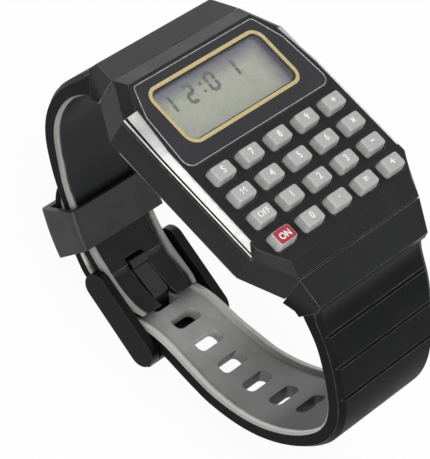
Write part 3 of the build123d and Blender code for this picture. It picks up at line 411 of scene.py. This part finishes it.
def key_paint(name, field_centre=None):
    """Grained light grey paint; the ON key has a red field on its top."""
    material, tree, shader = start_material(name, 0.42)
    texture = effect(tree, GRAIN, Grain_Scale=8200.0, Patch_Scale=900.0)
    edge = effect(tree, EDGE, Radius=0.0003, Wear_Scale=2500.0)
    fine = ramp(tree, texture["Height"], 0.36, 0.64)
    grey = blend_colour(tree, fine, (0.34, 0.34, 0.335), (0.56, 0.56, 0.55))
    grey = blend_colour(tree, texture["Patch"], grey, (0.50, 0.50, 0.49), 0.35)
    grey = blend_colour(tree, edge["Wear"], grey, (0.62, 0.62, 0.61), 0.35)
    if field_centre:
        field = effect(tree, FIELD, Centre=field_centre, Half_Wide=1.62 * MM, Half_High=1.02 * MM,
                       Corner=0.32 * MM)
        red = blend_colour(tree, fine, (0.34, 0.010, 0.028), (0.50, 0.022, 0.050))
        upward = axes_of(tree, tree.nodes.new("ShaderNodeTexCoord").outputs["Normal"])["Z"]
        on_top = ramp(tree, upward, 0.5, 0.6)
        grey = blend_colour(tree, maths(tree, "MULTIPLY", field["Mask"], on_top), grey, red)
    tree.links.new(grey, shader.inputs["Base Color"])
    tree.links.new(ramp(tree, texture["Height"], 0.3, 0.7, 0.34, 0.5), shader.inputs["Roughness"])
    add_bump(tree, shader, texture["Height"], 0.000007, edge["Normal"])
    return material


def legend_paint():
    """Thin white printing paint, a little uneven."""
    material, tree, shader = start_material("legend_white", 0.5)
    texture = effect(tree, GRAIN, Grain_Scale=9000.0, Patch_Scale=1500.0)
    tree.links.new(blend_colour(tree, texture["Patch"], (0.92, 0.92, 0.91), (1.0, 1.0, 0.99)),
                   shader.inputs["Base Color"])
    add_bump(tree, shader, texture["Height"], 0.000001)
    return material


def display_face():
    """The display: grey-green glass, with a painted purplish shadow of the window's edge towards 12 and 3
    o'clock.
    """
    material, tree, shader = start_material("display_glass", 0.28)
    texture = effect(tree, GRAIN, Grain_Scale=5200.0, Patch_Scale=260.0)
    green = blend_colour(tree, texture["Patch"], (0.234, 0.236, 0.192), (0.238, 0.240, 0.196))
    axes = axes_of(tree, place(tree))
    # Painted shadow of the window's edge, purplish, at the 12 and 3 o'clock sides.
    up = ramp(tree, axes["Y"], 10.9 * MM, 13.3 * MM)
    across = ramp(tree, axes["X"], 8.2 * MM, 11.0 * MM)
    painted_bezel_shadow = maths(tree, "MAXIMUM", up, across)
    tree.links.new(blend_colour(tree, painted_bezel_shadow, green, (0.066, 0.058, 0.090)), shader.inputs["Base Color"])
    tree.links.new(ramp(tree, texture["Patch"], 0.0, 1.0, 0.24, 0.34), shader.inputs["Roughness"])
    add_bump(tree, shader, texture["Height"], 0.000001)
    return material


def clear_window():
    """Clear plastic that lets the lamps reach the display under it."""
    material, tree, shader = start_material("clear_window", 0.03)
    shader.inputs["Base Color"].default_value = (0.95, 0.97, 0.95, 1.0)
    shader.inputs["Transmission Weight"].default_value = 1.0
    shader.inputs["IOR"].default_value = 1.47
    texture = effect(tree, GRAIN, Grain_Scale=900.0, Patch_Scale=300.0)
    tree.links.new(ramp(tree, texture["Patch"], 0.0, 1.0, 0.03, 0.04), shader.inputs["Roughness"])
    passing = tree.nodes.new("ShaderNodeBsdfTransparent")
    path = tree.nodes.new("ShaderNodeLightPath")
    end_in_mix(tree, path.outputs["Is Shadow Ray"], shader.outputs[0], passing.outputs[0])
    return material


FLOOR_GLOW = 0.95  # how far the floor that is seen turns to plain white
WORLD_LIGHT = 0.3


def studio_floor():
    """A pale matt floor that the camera sees nearly white, with the watch's shadow kept."""
    material, tree, shader = start_material("studio_floor", 0.7, specular=0.0)
    tone = noise(tree, place(tree), 4.0, 2.0, 0.5)
    tree.links.new(blend_colour(tree, tone, (0.94, 0.94, 0.94), (0.96, 0.96, 0.96)),
                   shader.inputs["Base Color"])
    glow = tree.nodes.new("ShaderNodeEmission")
    glow.inputs["Color"].default_value = (1.0, 1.0, 1.0, 1.0)
    glow.inputs["Strength"].default_value = 1.0
    whitened = maths(tree, "MULTIPLY", seen_straight(tree), FLOOR_GLOW)
    end_in_mix(tree, whitened, shader.outputs[0], glow.outputs[0])
    return material


def dress(material, *names):
    """Gives CAD nodes a material in every one of their slots."""
    for name in names:
        mesh = nodes[name].data
        for index in range(len(mesh.materials)):
            mesh.materials[index] = material
        if not mesh.materials:
            mesh.materials.append(material)


KEYS = [
    ("key_s", "S"), ("key_7", "7"), ("key_8", "8"), ("key_9", "9"), ("key_divide", "÷"),
    ("key_m", "M"), ("key_4", "4"), ("key_5", "5"), ("key_6", "6"), ("key_multiply", "×"),
    ("key_off", "OFF"), ("key_1", "1"), ("key_2", "2"), ("key_3", "3"), ("key_minus", "−"),
    ("key_on", "ON"), ("key_0", "0"), ("key_point", "·"), ("key_equals", "="), ("key_plus", "+"),
]


def middle(node):
    """The middle of a CAD node's box."""
    low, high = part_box(node)
    return (low + high) / 2


dress(moulded("case_plastic", (0.006, 0.0062, 0.0064), (0.011, 0.0113, 0.0116), 0.42, depth=0.000008,
              grain=5200.0, scuff_glint_colour=(0.26, 0.26, 0.26), scuff_glint_amount=0.8, radius=0.00024, specks=0.6, specular=0.19),
      "case_top")
dress(moulded("gloss_panel", (0.011, 0.011, 0.014), (0.017, 0.017, 0.020), 0.22, depth=0.000002,
              grain=3000.0, scuff_glint_colour=(0.16, 0.16, 0.16), scuff_glint_amount=0.5, radius=0.0001, specks=0.55, specular=0.36,
              patch=140.0), "display_plate")
dress(side_silver(), "side_trim_left", "side_trim_right")
dress(brushed("back_steel", (0.42, 0.42, 0.43), (0.62, 0.62, 0.62), 0.30, (420.0, 14000.0, 14000.0)),
      "case_back")
dress(brushed("plain_steel", (0.45, 0.45, 0.46), (0.60, 0.60, 0.60), 0.28, (2200.0, 9000.0, 9000.0)),
      "back_screws", "spring_bar_upper", "spring_bar_lower")
dress(brushed("gold_line", (0.50, 0.40, 0.18), (0.64, 0.53, 0.28), 0.38, (2600.0, 2600.0, 2600.0),
              depth=0.000006, metallic=0.55), "window_frame_line")
dress(brushed("sprung_contact", (0.55, 0.44, 0.20), (0.70, 0.58, 0.30), 0.30, (900.0, 9000.0, 9000.0)),
      "battery_contact_minus", "battery_contact_plus")
dress(brushed("battery_steel", (0.55, 0.55, 0.55), (0.70, 0.70, 0.70), 0.22, (7000.0, 700.0, 7000.0)),
      "battery")
dress(brushed("can_metal", (0.55, 0.55, 0.52), (0.72, 0.72, 0.70), 0.25, (7000.0, 500.0, 7000.0)),
      "crystal_can")
dress(moulded("soft_rubber", (0.030, 0.030, 0.031), (0.050, 0.050, 0.051), 0.65), "back_gasket", "zebra_strips")
dress(moulded("key_sheet_rubber", (0.10, 0.10, 0.10), (0.14, 0.14, 0.14), 0.6), "keypad_sheet")
dress(moulded("inner_moulding", (0.50, 0.49, 0.46), (0.60, 0.59, 0.56), 0.45), "module_frame", "battery_holder")
dress(moulded("board_lacquer", (0.02, 0.10, 0.045), (0.035, 0.15, 0.07), 0.3, specks=0.4), "circuit_board")
dress(moulded("black_resin", (0.010, 0.010, 0.010), (0.018, 0.018, 0.018), 0.25), "chip_blob")
# The two halves' insides are lit and shaded copies of one resin: painted shade inside the upper half, painted
# reflected light inside the lower half.
dress(strap_resin("strap_upper", (0.008, 0.0085, 0.009), (0.020, 0.0205, 0.021), (0.02, 0.02, 0.02),
                  (0.54, 0.52, 0.49), 0.2), "strap_upper")
dress(strap_resin("strap_lower", (0.42, 0.424, 0.416), (0.66, 0.662, 0.650), (0.05, 0.05, 0.05),
                  (0.95, 0.93, 0.88), 0.35), "strap_lower")
dress(moulded("buckle_black", (0.003, 0.003, 0.0032), (0.007, 0.007, 0.0073), 0.36, depth=0.000004,
              scuff_glint_colour=(0.15, 0.15, 0.15), scuff_glint_amount=0.6, radius=0.00018, specks=0.2, specular=0.12), "buckle_frame")
dress(moulded("keeper_rubber", (0.028, 0.028, 0.029), (0.048, 0.048, 0.049), 0.38, depth=0.000004,
              scuff_glint_colour=(0.15, 0.15, 0.15), scuff_glint_amount=0.5, radius=0.00022, specular=0.25), "keeper_loop")
dress(brushed("tongue_black", (0.030, 0.030, 0.032), (0.055, 0.055, 0.057), 0.32, (9000.0, 800.0, 800.0)),
      "buckle_tongue", "buckle_bar")
dress(display_face(), "lcd_panel")
dress(clear_window(), "window_crystal")
dress(key_paint("key_grey_paint"), *[name for name, mark in KEYS if name != "key_on"])
on_middle = middle("key_on")
dress(key_paint("key_on_paint", (on_middle.x, on_middle.y, 0.0)), "key_on")
legend_white = legend_paint()
# A painted highlight: grey metal for the tube round the display plate.
plate_glint_grey = brushed("plate_line_grey", (0.34, 0.34, 0.35), (0.62, 0.62, 0.62), 0.3, (1500.0, 1500.0, 1500.0),
                    metallic=0.7)
digit_dark = moulded("digit_dark", (0.018, 0.024, 0.022), (0.065, 0.075, 0.066), 0.35,
                     depth=0.000001, patch=500.0)


# Geometry

PAINT_LIFT = 0.01 * MM  # of the legends over the key tops
PAINT_THICK = 0.02 * MM
SAME = 1e-6  # vertices and heights that are nearer than this are one
# The painted highlight's tube round the display plate: its radius and how far it sinks.
GLINT_RADIUS, GLINT_SINK = 0.06 * MM, 0.03 * MM


def keep(name, mesh, body):
    """A finished piece: a mesh object at the origin that rides on a body."""
    piece = bpy.data.objects.new(name, mesh)
    bpy.context.scene.collection.objects.link(piece)
    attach(piece, body)


def plain_mesh(piece):
    """The evaluated mesh of an object, which is then removed."""
    bpy.context.view_layer.update()
    seen = piece.evaluated_get(bpy.context.evaluated_depsgraph_get())
    mesh = bpy.data.meshes.new_from_object(seen)
    bpy.data.objects.remove(piece)
    return mesh


def start_geometry(name, inputs):
    """A geometry tree with a geometry in and out and its named inputs."""
    tree = bpy.data.node_groups.new(name, "GeometryNodeTree")
    tree.interface.new_socket(name="Geometry", in_out="INPUT", socket_type="NodeSocketGeometry")
    for label, kind in inputs:
        tree.interface.new_socket(name=label, in_out="INPUT", socket_type=kind)
    tree.interface.new_socket(name="Geometry", in_out="OUTPUT", socket_type="NodeSocketGeometry")
    return tree, tree.nodes.new("NodeGroupInput").outputs, tree.nodes.new("NodeGroupOutput").inputs


def finish_geometry(tree, shape, material, given):
    """Ends a tree in Realize Instances and Set Material."""
    real = tree.nodes.new("GeometryNodeRealizeInstances")
    painted = tree.nodes.new("GeometryNodeSetMaterial")
    tree.links.new(shape, real.inputs[0])
    tree.links.new(real.outputs[0], painted.inputs["Geometry"])
    tree.links.new(material, painted.inputs["Material"])
    tree.links.new(painted.outputs[0], given["Geometry"])


def grown(mesh, tree, values):
    """The plain mesh that a geometry tree makes of a mesh, with its inputs set by identifier."""
    holder = bpy.data.objects.new("holder", mesh)
    bpy.context.scene.collection.objects.link(holder)
    modifier = holder.modifiers.new("tree", "NODES")
    modifier.node_group = tree
    for socket in tree.interface.items_tree:
        if socket.in_out == "INPUT" and socket.name in values:
            modifier[socket.identifier] = values[socket.name]
    return plain_mesh(holder)


def lit_segment_tree():
    """Bars of a digit: one on each point, turned by the point's own turn."""
    tree, taken, given = start_geometry("lit_segments", [
        ("Long", "NodeSocketFloat"), ("Wide", "NodeSocketFloat"), ("Thick", "NodeSocketFloat"),
        ("Material", "NodeSocketMaterial")])
    size = tree.nodes.new("ShaderNodeCombineXYZ")
    for axis, label in enumerate(("Long", "Wide", "Thick")):
        tree.links.new(taken[label], size.inputs[axis])
    bar = tree.nodes.new("GeometryNodeMeshCube")
    tree.links.new(size.outputs[0], bar.inputs["Size"])
    turn = tree.nodes.new("GeometryNodeInputNamedAttribute")
    turn.data_type = "FLOAT"
    turn.inputs["Name"].default_value = "turn"
    spin = tree.nodes.new("ShaderNodeCombineXYZ")
    tree.links.new(turn.outputs["Attribute"], spin.inputs[2])
    points = tree.nodes.new("GeometryNodeMeshToPoints")
    tree.links.new(taken["Geometry"], points.inputs["Mesh"])
    bars = tree.nodes.new("GeometryNodeInstanceOnPoints")
    tree.links.new(points.outputs[0], bars.inputs["Points"])
    tree.links.new(bar.outputs["Mesh"], bars.inputs["Instance"])
    tree.links.new(spin.outputs[0], bars.inputs["Rotation"])
    finish_geometry(tree, bars.outputs[0], taken["Material"], given)
    return tree


def glint_tube_tree():
    """A thin tube along a closed line, for a painted highlight."""
    tree, taken, given = start_geometry("edge_glint_tube", [
        ("Radius", "NodeSocketFloat"), ("Material", "NodeSocketMaterial")])
    line = tree.nodes.new("GeometryNodeMeshToCurve")
    tree.links.new(taken["Geometry"], line.inputs["Mesh"])
    ring = tree.nodes.new("GeometryNodeCurvePrimitiveCircle")
    ring.inputs["Resolution"].default_value = 8
    tree.links.new(taken["Radius"], ring.inputs["Radius"])
    tube = tree.nodes.new("GeometryNodeCurveToMesh")
    tree.links.new(line.outputs[0], tube.inputs["Curve"])
    tree.links.new(ring.outputs[0], tube.inputs["Profile Curve"])
    smooth = tree.nodes.new("GeometryNodeSetShadeSmooth")
    tree.links.new(tube.outputs[0], smooth.inputs["Geometry"])
    finish_geometry(tree, smooth.outputs[0], taken["Material"], given)
    return tree


# The display's figures: their lit bars, size and places, in millimetres, and shares of their height
LIT = {"0": "abcdef", "1": "bc", "2": "abdeg"}
DIGIT_ROWS = (("12", -10.3), ("01", -1.4))
DIGIT_FOOT, DIGIT_HIGH, DIGIT_STEP = 9.9, 2.7, 4.4
DIGIT_SHARE, BAR_LONG_SHARE, BAR_WIDE_SHARE = 0.52, 0.44, 0.21
COLON_X, COLON_LOW, COLON_HIGH, COLON_SIDE = -2.7, 10.5, 11.8, 0.45
SLANT, SLANT_FOOT = 0.09, 8.0


def digit_points(text, left, foot, high, step):
    """The middles and turns of the lit bars of a row of digits."""
    half, wide = high / 2, high * DIGIT_SHARE
    spots = {
        "a": (wide / 2, high, 0.0), "g": (wide / 2, half, 0.0), "d": (wide / 2, 0.0, 0.0),
        "f": (0.0, half * 1.5, 1.0), "b": (wide, half * 1.5, 1.0),
        "e": (0.0, half * 0.5, 1.0), "c": (wide, half * 0.5, 1.0),
    }
    found = []
    for place_number, figure in enumerate(text):
        for segment in LIT[figure]:
            x, y, turn = spots[segment]
            found.append((left + place_number * step + x, foot + y, turn * math.pi / 2))
    return found


def add_display_digits():
    """The time on the display: four figures with a colon."""
    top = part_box("lcd_panel")[1].z
    tree = lit_segment_tree()
    parts = []
    for text, left in DIGIT_ROWS:
        found = digit_points(text, left * MM, DIGIT_FOOT * MM, DIGIT_HIGH * MM, DIGIT_STEP * MM)
        mesh = bpy.data.meshes.new("points")
        mesh.from_pydata([(x, y, top) for x, y, turn in found], [], [])
        turns = mesh.attributes.new("turn", "FLOAT", "POINT")
        for index, (x, y, turn) in enumerate(found):
            turns.data[index].value = turn
        parts.append(grown(mesh, tree, {"Long": DIGIT_HIGH * BAR_LONG_SHARE * MM,
                                        "Wide": DIGIT_HIGH * BAR_WIDE_SHARE * MM,
                                        "Thick": PAINT_THICK, "Material": digit_dark}))
    dots = bpy.data.meshes.new("dots")
    dots.from_pydata([(COLON_X * MM, y * MM, top) for y in (COLON_LOW, COLON_HIGH)], [], [])
    dots.attributes.new("turn", "FLOAT", "POINT")
    parts.append(grown(dots, tree, {"Long": COLON_SIDE * MM, "Wide": COLON_SIDE * MM,
                                    "Thick": PAINT_THICK, "Material": digit_dark}))
    built = bmesh.new()
    for part in parts:
        built.from_mesh(part)
    for vertex in built.verts:
        vertex.co.x += (vertex.co.y - SLANT_FOOT * MM) * SLANT
    mesh = bpy.data.meshes.new("display_digits")
    built.to_mesh(mesh)
    built.free()
    mesh.materials.append(digit_dark)
    keep("display_digits", mesh, "watch")


def top_outline(node):
    """The corners of the longest closed line round the top face of a CAD node."""
    built = bmesh.new()
    built.from_mesh(nodes[node].data)
    bmesh.ops.remove_doubles(built, verts=built.verts, dist=SAME)
    top = max(vertex.co.z for vertex in built.verts) - SAME
    edges = []
    for edge in built.edges:
        if min(vertex.co.z for vertex in edge.verts) > top:
            level = [face for face in edge.link_faces if min(v.co.z for v in face.verts) > top]
            if len(level) == 1:
                edges.append(edge)
    loops, left = [], set(edges)
    for first in edges:  # in the mesh's own order, since a set's order changes from run to run
        if first not in left:
            continue
        left.discard(first)
        chain = [first.verts[0].co.copy(), first.verts[1].co.copy()]
        here = first.verts[1]
        while True:
            after = [edge for edge in here.link_edges if edge in left]
            if not after:
                break
            left.discard(after[0])
            here = after[0].other_vert(here)
            chain.append(here.co.copy())
        loops.append(chain)
    built.free()
    longest = max(loops, key=lambda chain: sum((a - b).length for a, b in zip(chain, chain[1:])))
    return longest[:-1]  # the line ends where it starts


def add_plate_glint():
    """A painted highlight: a thin bright tube round the display plate's top edge."""
    chain = top_outline("display_plate")
    count = len(chain)
    line = bpy.data.meshes.new("line")
    line.from_pydata([(p.x, p.y, p.z - GLINT_SINK) for p in chain],
                     [(i, (i + 1) % count) for i in range(count)], [])
    mesh = grown(line, glint_tube_tree(), {"Radius": GLINT_RADIUS, "Material": plate_glint_grey})
    keep("plate_edge_glint", mesh, "watch")


# The legends' sizes in millimetres: a width for the signs, and a height for the letters and figures
LEGEND_WIDTHS = {"−": 0.9, "·": 0.34, "=": 0.9, "+": 0.95, "×": 0.9, "÷": 0.95}
LEGEND_HEIGHTS = {"OFF": 1.0, "ON": 1.05, "M": 0.95}
LEGEND_HEIGHT = 1.15
LEGEND_RISE, ON_RISE = 0.12, -0.05
STROKE_SWELL = 0.034  # of the font's strokes; the M would close up with it


def add_legend(key, text):
    """A key's white legend, laid on its top."""
    low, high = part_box(key)
    centre = (low + high) / 2
    curve = bpy.data.curves.new("legend", "FONT")
    curve.body = text
    curve.align_x, curve.align_y = "CENTER", "CENTER"
    curve.size = 1.0
    curve.resolution_u = 4
    curve.offset = 0.0 if text == "M" else STROKE_SWELL
    holder = bpy.data.objects.new("legend", curve)
    bpy.context.scene.collection.objects.link(holder)
    mesh = plain_mesh(holder)
    xs, ys = [v.co.x for v in mesh.vertices], [v.co.y for v in mesh.vertices]
    wide, tall = max(xs) - min(xs), max(ys) - min(ys)
    if text in LEGEND_WIDTHS:
        scale = LEGEND_WIDTHS[text] / wide
    else:
        scale = LEGEND_HEIGHTS.get(text, LEGEND_HEIGHT) / tall
    middle_x, middle_y = (max(xs) + min(xs)) / 2, (max(ys) + min(ys)) / 2
    rise = ON_RISE if text == "ON" else LEGEND_RISE
    built = bmesh.new()
    built.from_mesh(mesh)
    for vertex in built.verts:
        vertex.co.x = centre.x + (vertex.co.x - middle_x) * scale * MM
        vertex.co.y = centre.y + ((vertex.co.y - middle_y) * scale + rise) * MM
        vertex.co.z = high.z + PAINT_LIFT
    surface = BVHTree.FromPolygons([v.co for v in nodes[key].data.vertices],
                                   [tuple(f.vertices) for f in nodes[key].data.polygons])
    for vertex in built.verts:
        over = Vector((vertex.co.x, vertex.co.y, high.z + MM))
        hit = surface.ray_cast(over, Vector((0, 0, -1)))[0]
        if hit is not None:
            vertex.co.z = hit.z + PAINT_LIFT
    bmesh.ops.recalc_face_normals(built, faces=built.faces)
    for face in built.faces:
        if face.normal.z < 0:
            face.normal_flip()
    walls = bmesh.ops.extrude_face_region(built, geom=list(built.faces))
    for item in walls["geom"]:
        if isinstance(item, bmesh.types.BMVert):
            item.co.z += PAINT_THICK
    bmesh.ops.recalc_face_normals(built, faces=built.faces)
    finished = bpy.data.meshes.new(key + "_legend")
    built.to_mesh(finished)
    built.free()
    finished.materials.append(legend_white)
    keep(key + "_legend", finished, key)


for key_name, key_mark in KEYS:
    add_legend(key_name, key_mark)
add_display_digits()
add_plate_glint()


# Floor, lamps and camera

FLOOR_GAP = 0.2 * MM
LAMPS_AIM = Vector((0.0, 0.0, -0.012))  # the middle of the watch
# Each lamp's name, its direction from there, its distance, its side and its power
SOFTBOXES = (
    ("key_box", (0.62, 0.78, 0.04), 0.55, 0.34, 0.75),
    ("top_box", (-0.15, 0.05, 1.0), 0.60, 0.42, 1.6),
    ("side_box", (-0.92, 0.12, 0.40), 0.60, 0.34, 0.35),
    ("front_box", (-0.55, -0.80, 0.45), 0.70, 0.36, 2.0),
)
# The camera that was fitted to the photograph's keys and gold line
CAMERA_PLACE = (-0.2607448, -0.0815042, 0.2828825)
CAMERA_RIGHT = Vector((0.638580, -0.669341, 0.379734))
CAMERA_UP = Vector((0.416649, 0.715581, 0.560667))
CAMERA_LENS, SENSOR_WIDTH = 237.73, 36.0


def add_floor():
    """The studio floor just under the lowest point of the watch."""
    low = cad_box[0].z - FLOOR_GAP
    mesh = bpy.data.meshes.new("floor")
    mesh.from_pydata([(-2, -2, low), (2, -2, low), (2, 2, low), (-2, 2, low)], [], [(0, 1, 2, 3)])
    mesh.materials.append(studio_floor())
    floor = bpy.data.objects.new("floor", mesh)
    bpy.context.scene.collection.objects.link(floor)


def add_softbox(name, direction, away, side, power):
    """A square lamp that looks at the middle of the watch, out of the camera's sight."""
    lamp = bpy.data.lights.new(name, "AREA")
    lamp.shape = "SQUARE"
    lamp.size = side
    lamp.energy = power
    holder = bpy.data.objects.new(name, lamp)
    out = Vector(direction).normalized()
    holder.location = LAMPS_AIM + out * away
    holder.rotation_euler = (-out).to_track_quat("-Z", "Y").to_euler()
    holder.visible_camera = False
    bpy.context.scene.collection.objects.link(holder)


def add_world():
    """Plain white surroundings: seen at full white, lighting at a lower level."""
    world = bpy.data.worlds.new("studio")
    world.use_nodes = True
    bpy.context.scene.world = world
    tree = world.node_tree
    back = tree.nodes["Background"]
    back.inputs["Color"].default_value = (1.0, 1.0, 1.0, 1.0)
    tree.links.new(maths(tree, "MAXIMUM", seen_straight(tree), WORLD_LIGHT), back.inputs["Strength"])


def add_camera():
    """The camera, at the photograph's viewing angle."""
    data = bpy.data.cameras.new("camera")
    data.lens = CAMERA_LENS
    data.sensor_width = SENSOR_WIDTH
    data.sensor_fit = "HORIZONTAL"
    data.clip_start, data.clip_end = 0.01, 10.0
    camera = bpy.data.objects.new("camera", data)
    turn = Matrix((CAMERA_RIGHT, CAMERA_UP, CAMERA_RIGHT.cross(CAMERA_UP))).transposed().to_4x4()
    camera.matrix_world = Matrix.Translation(CAMERA_PLACE) @ turn
    bpy.context.scene.collection.objects.link(camera)
    bpy.context.scene.camera = camera


add_floor()
add_world()
for softbox in SOFTBOXES:
    add_softbox(*softbox)
add_camera()
bpy.context.scene.view_settings.view_transform = "Standard"
